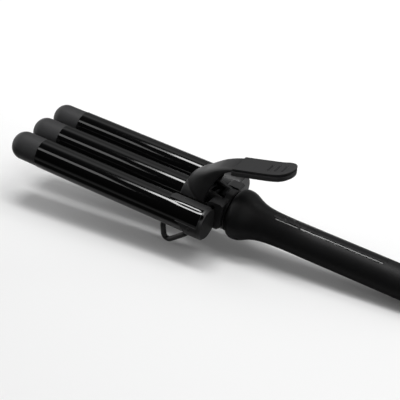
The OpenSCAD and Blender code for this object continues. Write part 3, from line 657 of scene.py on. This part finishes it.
def handleOutline(inset):
    # Bulb, waist and grip, from the neck to the tail cap's seam
    h = handle
    turn = [math.radians(a) for a in range(0, 91, 6)]
    points = [(h["bulbX"] - h["bulbFront"] * math.cos(a), h["neck"] + (h["bulb"] - h["neck"]) * math.sin(a)
               - inset) for a in turn]
    steps = h["taperSteps"]
    left = [1 / (1 + (i / steps / h["waist"]) ** h["waistPower"]) for i in range(steps + 1)]
    for i in range(1, steps + 1):
        part = (left[i] - left[-1]) / (1 - left[-1])
        points.append((h["bulbX"] + h["taper"] * i / steps, h["grip"] + (h["bulb"] - h["grip"]) * part - inset))
    points += [(x, h["grip"] - inset) for x in (*h["gripRings"], h["seam"])]
    return points


def keyWidth(key, grow=0.0):
    # The power key is a pill, the two short keys have round sides
    middle, length = strip[key]
    half = strip["keyHalf"]
    if key == "power":
        return pillWidth(middle - length / 2 - grow, middle + length / 2 + grow, half + grow)
    rounding = math.hypot(length, 2 * half) / 2 - strip["keyCorner"] + grow
    return lambda x: min(half + grow, math.sqrt(max(0.0, rounding ** 2 - (x - middle) ** 2)))


def keyStations(key, grow=0.0):
    middle, length = strip[key]
    x0, x1 = middle - length / 2 - grow, middle + length / 2 + grow
    if key == "power":
        return pillStations(x0, x1, strip["keyHalf"] + grow, 3)
    return [x0 + (x1 - x0) * i / 10 for i in range(11)]


def roundHole(x, y, radius, low, high):
    turn = [2 * math.pi * i / 32 for i in range(32)]
    return prism([(x + radius * math.cos(a), y + radius * math.sin(a)) for a in turn], low, high)


def keyHole(key, grow, low, high):
    return prism(around(keyWidth(key, grow), keyStations(key, grow)), low, high)


def pillHole(x0, x1, half, low, high):
    return prism(around(pillWidth(x0, x1, half), pillStations(x0, x1, half, 3, 8)), low, high)


def makeHandle():
    h, s = handle, strip
    low, high, fit = h["cutLow"], h["cutHigh"], h["fit"]
    inner = [(x, r) for x, r in handleOutline(h["wall"]) if x > h["flange"]]
    outline = handleOutline(0) + inner[::-1] + [(h["flange"], h["spigot"]), (h["front"], h["spigot"])]
    for name, start in (("upper", -90), ("lower", 90)):
        bm = spunShape(closed(outline), h["steps"], 0, 180, start)
        seams = [e for e in bm.edges if e.is_boundary]
        bmesh.ops.triangle_fill(bm, edges=seams, use_beauty=True, use_dissolve=True)
        if name == "upper":
            cutters = [pillHole(s["start"] - fit, s["end"] + fit, s["half"] + fit, s["low"] - h["bed"], high)]
            cutters += [keyHole(key, h["keyFit"], low, high) for key in keyNames]
            cutters.append(roundHole(s["lens"], 0, s["lensRadius"] + fit, low, high))
        else:
            cutters = [roundHole(x, y, h["screwRadius"] + h["screwFit"], h["under"], h["screwFloor"])
                       for x, y in h["screws"]]
        shell = makePiece(carve(bm, cutters), name + "Grip", "handle", softTouch,
                          ["handle_" + name + "_shell"], limit=30)
        roundEdges(shell, h["edge"], 3, 60)


def stripSurface(x, y):
    # Round like the grip, with a tighter shoulder along each side and a dip between one key and the next
    s = strip
    z = math.sqrt(s["top"] ** 2 - min(abs(y), s["bend"]) ** 2)
    over = max(0.0, abs(y) - s["bend"])
    first = math.sin(math.radians(s["slope"]))
    for radius, slope in s["keyArcs"] if x < s["dips"][2][1] else s["windowArcs"]:
        last = math.sin(math.radians(slope))
        run = min(over, radius * (last - first))
        z -= radius * (math.sqrt(1 - first ** 2) - math.sqrt(1 - (first + run / radius) ** 2))
        over -= run
        first = last
    for x0, x1 in s["dips"]:
        z -= s["dip"] * clamp(min(x - x0, x1 - x) / s["dipEdge"] + 1)
    return z


def makeStrip():
    s, h = strip, handle
    low, high, fit = h["cutLow"], h["cutHigh"], s["glassFit"]
    start, end, half = s["start"] + s["fit"], s["end"] - s["fit"], s["half"] - s["fit"]
    stations = pillStations(start, end, half, *s["stations"])
    for x0, x1 in s["dips"]:
        stations += [x0 - s["dipEdge"], x0, x1, x1 + s["dipEdge"]]
    spread = [-t for t in reversed(s["spread"])] + [0, *s["spread"]]
    plate = plateShape(sorted(stations), pillWidth(start, end, half), stripSurface, spread, s["rim"])
    for v in plate.verts:
        if v.co.z < s["sideTop"]:
            v.co.z = s["low"]
    x0, x1 = s["window"]
    cutters = [keyHole(key, s["fit"], low, high) for key in keyNames]
    cutters.append(roundHole(s["lens"], 0, s["lensRadius"] + fit, low, high))
    cutters.append(pillHole(x0 - fit, x1 + fit, s["windowHalf"] + fit, s["sideTop"], high))
    piece = makePiece(carve(plate, cutters), "controlStripPlate", "handle", glossBlack,
                      ["control_strip"], limit=30)
    roundEdges(piece, s["edge"], 2, 50)

    x0, x1, half = x0 + fit, x1 - fit, s["windowHalf"] - fit
    glass = plateShape(pillStations(x0, x1, half, 20, 10), pillWidth(x0, x1, half),
                       lambda x, y: math.sqrt(s["top"] ** 2 - y ** 2), evenSpread(10), s["glassRim"])
    makePiece(glass, "displayGlass", "handle", windowGlass, ["display_window"])

    middle, radius, crown = s["lens"], s["lensRadius"], s["lensCrown"]
    turn = [math.pi * i / 16 for i in range(17)]
    lens = plateShape([middle - (radius - fit) * math.cos(a) for a in turn],
                      lambda x: math.sqrt(max(0.0, (radius - fit) ** 2 - (x - middle) ** 2)),
                      lambda x, y: s["top"] - crown + crown * (1 - (math.hypot(x - middle, y) / radius) ** 2),
                      evenSpread(10), s["lensRim"])
    makePiece(lens, "indicatorLight", "handle", lensSmoke, ["indicator_lens"])


signs = {"wire": 0.16, "ring": 1.25, "gap": 60, "ringSteps": 32, "stem": (0.95, 1.3, 0.34), "bar": (2.4, 0.4),
         "height": 0.3, "edge": 0.1}


def bar(x, y, z, length, width, height):
    bm = bmesh.new()
    bmesh.ops.create_cube(bm, size=1)
    bmesh.ops.scale(bm, vec=(length, width, height), verts=bm.verts)
    bmesh.ops.bevel(bm, geom=bm.edges[:], offset=signs["edge"], affect="EDGES", segments=2, profile=0.5,
                    material=-1)
    bmesh.ops.translate(bm, vec=(x, y, z), verts=bm.verts)
    return bm


def powerRing(x, z):
    # An open ring with a bar in its gap
    k = signs
    origin = (0, 0, 0)
    bm = bmesh.new()
    bmesh.ops.create_circle(bm, segments=8, radius=k["wire"], cap_ends=True)
    bmesh.ops.rotate(bm, cent=origin, matrix=Matrix.Rotation(math.pi / 2, 3, "Y"), verts=bm.verts)
    bmesh.ops.translate(bm, vec=(0, k["ring"], 0), verts=bm.verts)
    bmesh.ops.rotate(bm, cent=origin, matrix=Matrix.Rotation(math.radians(-k["gap"]), 3, "Z"), verts=bm.verts)
    bmesh.ops.spin(bm, geom=bm.verts[:] + bm.edges[:] + bm.faces[:], cent=origin, axis=(0, 0, 1),
                   angle=math.radians(k["gap"] - 360), steps=k["ringSteps"])
    bmesh.ops.translate(bm, vec=(x, 0, z), verts=bm.verts)
    away, length, width = k["stem"]
    return join(bm, bar(x + away, 0, z, length, width, k["height"]))


def makeKeys():
    s = strip
    crown = s["top"] + s["proud"]
    long, thin = signs["bar"]
    for key in keyNames:
        middle, length = s[key]
        width = keyWidth(key)
        shrink = 1 - 2 * s["keyRound"] / length

        def capWidth(x):
            wide = width(middle + (x - middle) / shrink)
            return wide - s["keyRound"] if wide > s["keyTip"] else 0.0

        cap = plateShape([middle + (x - middle) * shrink for x in keyStations(key)], capWidth,
                         lambda x, y: math.sqrt(crown ** 2 - y ** 2) - s["keySink"], evenSpread(12),
                         quarter(s["keyRound"], 4) + [(s["keyRound"], s["keyDeep"])])
        if key == "power":
            join(cap, powerRing(middle, crown))
        else:
            join(cap, bar(middle, 0, crown, thin, long, signs["height"]))
        if key == "plus":
            join(cap, bar(middle, 0, crown, long, thin, signs["height"]))
        makePiece(cap, key + "Key", key + "_key", keyBlack, [key + "_button"])


pad = {"start": 194.8, "straight": 231.0, "height": 45.7, "slope": 0.27, "curl": 2.2, "curlStart": 27.6,
       "curlLength": 18.4, "half": 10.45, "lip": 0.5, "fine": 0.35, "across": 44,
       "rim": ((0.5, 1.35), (0.4, 1.47), (-0.3, 1.5), (-0.3, 2.15)),
       "grooves": (221.6, 227.3, 233.0), "groovesFrom": 219.0, "grooveHalf": 5.0, "grooveDepth": 1.0,
       "grooveWidth": 0.9, "grooveEnd": 0.22, "nearDeeper": 0.5, "nearLength": 1.2, "nearEnd": 0.25}


def padTop(x):
    p = pad
    rise = max(0.0, x - p["start"] - p["curlStart"]) / p["curlLength"]
    return p["height"] + p["slope"] * (x - p["start"]) + p["curl"] * rise ** 2


def padGrooved(x, y):
    # The grooves have soft ends and are deeper where they start at the near side
    p = pad
    across = 1 / (1 + math.exp((abs(y) - p["grooveHalf"]) / p["grooveEnd"]))
    near = 1 + p["nearDeeper"] / (1 + math.exp((y + p["grooveHalf"] - p["nearLength"]) / p["nearEnd"]))
    cut = max(math.exp(-((x - middle) / p["grooveWidth"]) ** 4) for middle in p["grooves"])
    return padTop(x) - across * near * p["grooveDepth"] * cut


def padPlate(half, stations, across, surface, rim):
    # A plate with the pad's outline, straight sides and a round end
    return plateShape(stations, lambda x: math.sqrt(max(0.0, half ** 2 - max(0.0, x - pad["straight"]) ** 2)),
                      surface, evenSpread(across), rim)


def padStations(front, half, fine):
    # Closer together where the grooves are
    start, end = pad["groovesFrom"], pad["straight"]
    places = [front + (start - front) * i / 8 for i in range(8)]
    count = round((end - start) / fine)
    places += [start + (end - start) * i / count for i in range(count)]
    count = round(half * math.pi / 2 / fine)
    return places + [end + half * math.sin(math.pi / 2 * i / count) for i in range(count + 1)]


def makePad():
    p = pad
    half = p["half"] - p["lip"]
    cover = padPlate(half, padStations(p["start"] + p["lip"], half, p["fine"]), p["across"], padGrooved,
                     quarter(p["lip"]) + [*p["rim"]])
    makePiece(cover, "thumbPad", "jaw", padBlack, ["lever_pad"], limit=40)


hood = {"voxel": 0.45, "rounds": 12, "crownFrom": 18, "crownRise": 15, "lift": 0.9, "liftStart": 176,
        "sag": 1.9, "sagStart": 150, "sagEnd": 183}


def makeHood():
    h = hood
    arm = moulded("lever_arm", h["voxel"], h["rounds"])
    bmesh.ops.transform(arm, matrix=toolToRest.inverted(), verts=arm.verts)
    for v in arm.verts:
        # The hood's arch is a little lower than the solid's, and rises to meet the pad
        crown = clamp((v.co.z - h["crownFrom"]) / h["crownRise"])
        rise = smooth((v.co.x - h["liftStart"]) / (pad["start"] - h["liftStart"]))
        bow = clamp((v.co.x - h["sagStart"]) / (h["sagEnd"] - h["sagStart"]))
        v.co.z += crown * (h["lift"] * rise - h["sag"] * math.sin(math.pi * bow) ** 2)
    makePiece(arm, "leverArmHood", "jaw", armBlack, ["lever_arm"], limit=70, outward=False)


skirt = {"half": 10.6, "back": 1.0, "under": 2.1, "shoulder": 1.6, "fine": 0.9, "across": 12,
         "rim": ((1.6, 3.8), (1.5, 4.2), (1.25, 4.52), (0.8, 4.7))}


def makeSkirt():
    # The tray's side below the pad's cover, in a lighter black than the arm that paints light on it
    k = skirt
    half = k["half"] - k["shoulder"]
    tray = padPlate(half, padStations(pad["start"] + k["back"], half, k["fine"]), k["across"],
                    lambda x, y: padTop(x) - k["under"], quarter(k["shoulder"], 6) + [*k["rim"]])
    makePiece(tray, "padSkirt", "jaw", skirtBlackPaintedLight, ["lever_arm"], limit=50)


def wireShape(points, radius, resolution):
    # A round wire through points, in millimetres along the tool
    data = bpy.data.curves.new("wire", "CURVE")
    data.dimensions = "3D"
    data.bevel_depth = radius
    data.bevel_resolution = resolution
    data.use_fill_caps = True
    line = data.splines.new("POLY")
    line.points.add(len(points) - 1)
    for point, place in zip(line.points, points):
        point.co = (*place, 1)
    loose = bpy.data.objects.new("wire", data)
    bpy.context.scene.collection.objects.link(loose)
    bm = readBack(loose)
    bpy.data.curves.remove(data)
    bmesh.ops.remove_doubles(bm, verts=bm.verts, dist=weld)
    return bm


def rounded(points, radius, steps=10):
    # The points of a bent wire, its corners turned into arcs
    points = [Vector(p) for p in points]
    out = [points[0]]
    for a, b, c in zip(points, points[1:], points[2:]):
        u, v = (a - b).normalized(), (c - b).normalized()
        turn = u.angle(v)
        centre = b + (u + v).normalized() * radius / math.sin(turn / 2)
        first = b + u * radius / math.tan(turn / 2) - centre
        last = b + v * radius / math.tan(turn / 2) - centre
        arc = math.pi - turn
        out += [centre + (first * math.sin((1 - i / steps) * arc) + last * math.sin(i / steps * arc)) / math.sin(arc)
                for i in range(steps + 1)]
    return out + [points[-1]]


stand = {"wire": 4.4, "bend": 4.2, "pivot": (171, -16.2), "foot": (151, -33.464), "crossbar": (148, -15.0),
         "side": 28, "end": 18.0, "roundness": 8}


def makeStand():
    s = stand
    ends = [(s["pivot"][0], -s["end"], s["pivot"][1])]
    ends += [(x, -s["side"], z) for x, z in (s["pivot"], s["foot"], s["crossbar"])]
    path = rounded(ends + [(x, -y, z) for x, y, z in reversed(ends)], s["bend"])
    makePiece(wireShape(path, s["wire"] / 2, s["roundness"]), "standWire", "stand", standBlack,
              ["stand_wire"], limit=50)


spring = {"wire": 1.4, "radius": 4.4, "turns": 6, "pitch": 1.6, "hinge": (185.5, 10), "steps": 24, "past": 7,
          "lowerEnd": (187.0, -1), "upperEnd": (172.5, 14.9), "gap": 0.1, "roundness": 4}


def makeSpring():
    # One tail rests on the yoke's floor, the other under the lever
    s = spring
    x, z = s["hinge"]
    half = s["turns"] * s["pitch"] / 2
    clear = s["wire"] / 2 + s["gap"]
    path = [(s["lowerEnd"][0], -half, s["lowerEnd"][1] + clear)]
    for i in range(s["turns"] * s["steps"] + s["past"]):
        turn = 2 * math.pi * i / s["steps"]
        path.append((x + s["radius"] * math.cos(turn), -half + i * s["pitch"] / s["steps"],
                     z + s["radius"] * math.sin(turn)))
    path.append((s["upperEnd"][0], half + s["pitch"] / 4, s["upperEnd"][1] + clear))
    piece = makePiece(wireShape(path, s["wire"] / 2, s["roundness"]), "leverSpring", "handle", springSteel,
                      ["torsion_spring"], limit=50)
    piece.parent = None
    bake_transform(piece)


screwRecess = {"length": 2.5, "width": 0.42, "deep": 1.2}
holderScrews = {"places": ((164, 76), (179, 186)), "top": 13.25, "head": 1.7, "cone": 0.6, "shank": 1.0,
                "length": 3.95}
gripScrews = {"sunk": 1, "cone": 0.9, "shank": 1.0, "length": 10}


def screwShape(head, cone, shank, length):
    # A screw with its head's top at the origin and its shank going down, with a cross recess
    bm = bmesh.new()
    outline = [(0, 0), (head - 0.12, 0), (head, -0.12), (shank, -cone), (shank, -length), (0, -length)]
    verts = [bm.verts.new((r, 0, z)) for r, z in outline]
    edges = [bm.edges.new(pair) for pair in zip(verts, verts[1:])]
    bmesh.ops.spin(bm, geom=verts + edges, cent=(0, 0, 0), axis=(0, 0, 1), angle=math.radians(360), steps=32,
                   use_merge=True)
    bmesh.ops.remove_doubles(bm, verts=bm.verts, dist=weld)
    long, thin, deep = screwRecess["length"], screwRecess["width"], screwRecess["deep"]
    return carve(bm, [bar(0, 0, 0, long, thin, deep), bar(0, 0, 0, thin, long, deep)])


def screwSet(name, look, head, places, material, node):
    bm = bmesh.new()
    for place in places:
        screw = screwShape(head, look["cone"], look["shank"], look["length"])
        bmesh.ops.transform(screw, matrix=place, verts=screw.verts)
        join(bm, screw)
    makePiece(bm, name, "handle", material, [node])


def makeScrews():
    s, g, h = holderScrews, gripScrews, handle
    places = [Matrix.Translation((x, side * barrels["pitch"], 0))
              @ Matrix.Rotation(math.radians(side * (90 - angle)), 4, "X") @ Matrix.Translation((0, 0, s["top"]))
              for side in (-1, 1) for x, angle in s["places"]]
    screwSet("holderScrewSet", s, s["head"], places, screwBlack, "holder_screws")
    places = [Matrix.Translation((x, y, h["screwFloor"] - g["sunk"])) @ Matrix.Rotation(math.pi, 4, "X")
              for x, y in h["screws"]]
    screwSet("gripScrewSet", g, h["screwRadius"], places, plainSteel, "handle_screws")


tail = {"end": 380, "round": 4, "seam": 368, "grip": 12.8, "spigot": 10.3, "spigotLength": 8, "hole": 6.05,
        "pocket": 8.05, "floor": 4, "steps": 128,
        "seamEdge": ((0.06, 0.2), (0.12, 0.06), (0.3, 0), (1, 0), (4, 0)),
        "holeEdge": ((0, 0.35), (0.1, 0.1), (0.4, 0))}


def makeTailCap():
    t = tail
    front, back, seam = t["seam"] - t["spigotLength"], t["end"] - t["floor"], t["seam"]
    turn = [math.radians(a) for a in range(0, 91, 9)]
    cap = [(front, t["pocket"]), (front, t["spigot"]), (seam + t["seamEdge"][0][0], t["spigot"])]
    cap += [(seam + along, t["grip"] - inset) for along, inset in t["seamEdge"]]
    cap += [(t["end"] - t["round"] * (1 - math.sin(a)), t["grip"] - t["round"] * (1 - math.cos(a))) for a in turn]
    cap += [(t["end"] - along, t["hole"] + inset) for along, inset in t["holeEdge"]]
    cap += [(back, t["hole"]), (back, t["pocket"])]
    makePiece(spunShape(closed(cap), t["steps"]), "tailCapShell", "handle", softTouch, ["tail_cap"],
              limit=40)


gland = {"start": 373.45, "end": 385, "radius": 6.0, "bore": 3.5, "flange": 8.0, "flangeWidth": 2.5, "edge": 0.2,
         "grooves": (380.6, 382.2, 383.6), "groove": ((-0.35, 0), (-0.2, 0.3), (0.2, 0.3), (0.35, 0)),
         "rim": ((0.6, 0), (0.25, 0.12), (0, 0.6)), "mouth": ((0, 0.5), (0.15, 0.15), (0.5, 0)), "steps": 96}


def makeGland():
    g = gland
    start, end, edge = g["start"], g["start"] + g["flangeWidth"], g["edge"]
    sleeve = [(start, g["bore"]), (start, g["flange"] - edge), (start + edge, g["flange"]),
              (end - edge, g["flange"]), (end, g["flange"] - edge), (end, g["radius"])]
    sleeve += [(x + along, g["radius"] - inset) for x in g["grooves"] for along, inset in g["groove"]]
    sleeve += [(g["end"] - along, g["radius"] - inset) for along, inset in g["rim"]]
    sleeve += [(g["end"] - along, g["bore"] + inset) for along, inset in g["mouth"]]
    makePiece(spunShape(closed(sleeve), g["steps"]), "cordGlandSleeve", "gland", matteBlack,
              ["cord_gland"], limit=40)


collar = {"start": 194.0, "end": 196.4, "radius": 16.9, "hole": 10.6, "steps": 128,
          "front": ((0, 0.4), (0.12, 0.12), (0.4, 0)),
          "rear": ((1.0, 0), (0.7, 0.12), (0.6, 0.5), (0.6, 1.0), (0, 1.0))}


def makeCollar():
    c = collar
    ring = [(c["start"], c["hole"])]
    ring += [(c["start"] + along, c["radius"] - inset) for along, inset in c["front"]]
    ring += [(c["end"] - along, c["radius"] - inset) for along, inset in c["rear"]]
    ring += [(c["end"], c["hole"])]
    makePiece(spunShape(closed(ring), c["steps"]), "neckCollar", "handle", neckBlack, ["neck_ring"],
              limit=40)


print("shapes ready")
makeCamera()
makeStudio()
makeFloor()
makeBarrels()
makeTips()
print("barrels and tips made")
makeHandle()
makeTailCap()
makeGland()
makeCollar()
print("handle made")
makeStrip()
makeKeys()
print("controls made")
makePad()
makeHood()
makeSkirt()
makeStand()
makeSpring()
makeScrews()
print("lever, stand and small parts made")

shaped = [
    ("near_holder", holderBlack, "handle", "matte_black", 0.25),
    ("far_holder", holderBlack, "handle", "matte_black", 0.25),
    ("yoke_frame", yokeBlack, "handle", "yoke_black", 0.5),
    ("hinge_pin", pinSteel, "handle", "steel", 0.3),
    ("middle_end_plug", matteBlack, "jaw", "matte_black", 0.2),
]
for node, material, body, slotName, width in shaped:
    softened(node, material, body, width)

plain = {
    "near_heater": heaterFilm, "middle_heater": heaterFilm, "far_heater": heaterFilm,
    "near_heat_spreaders": rawAluminium, "middle_heat_spreaders": rawAluminium,
    "far_heat_spreaders": rawAluminium, "near_lead": leadSilicone, "far_lead": leadSilicone,
    "saddle_screws": plainSteel, "board_screws": plainSteel, "board_switches": plainSteel,
    "circuit_board": boardGreen}
for node, material in plain.items():
    mesh = nodes[node].data
    mesh.materials.clear()
    mesh.materials.append(material)
print("CAD pieces dressed")

scene = bpy.context.scene
scene.view_settings.view_transform = "Standard"
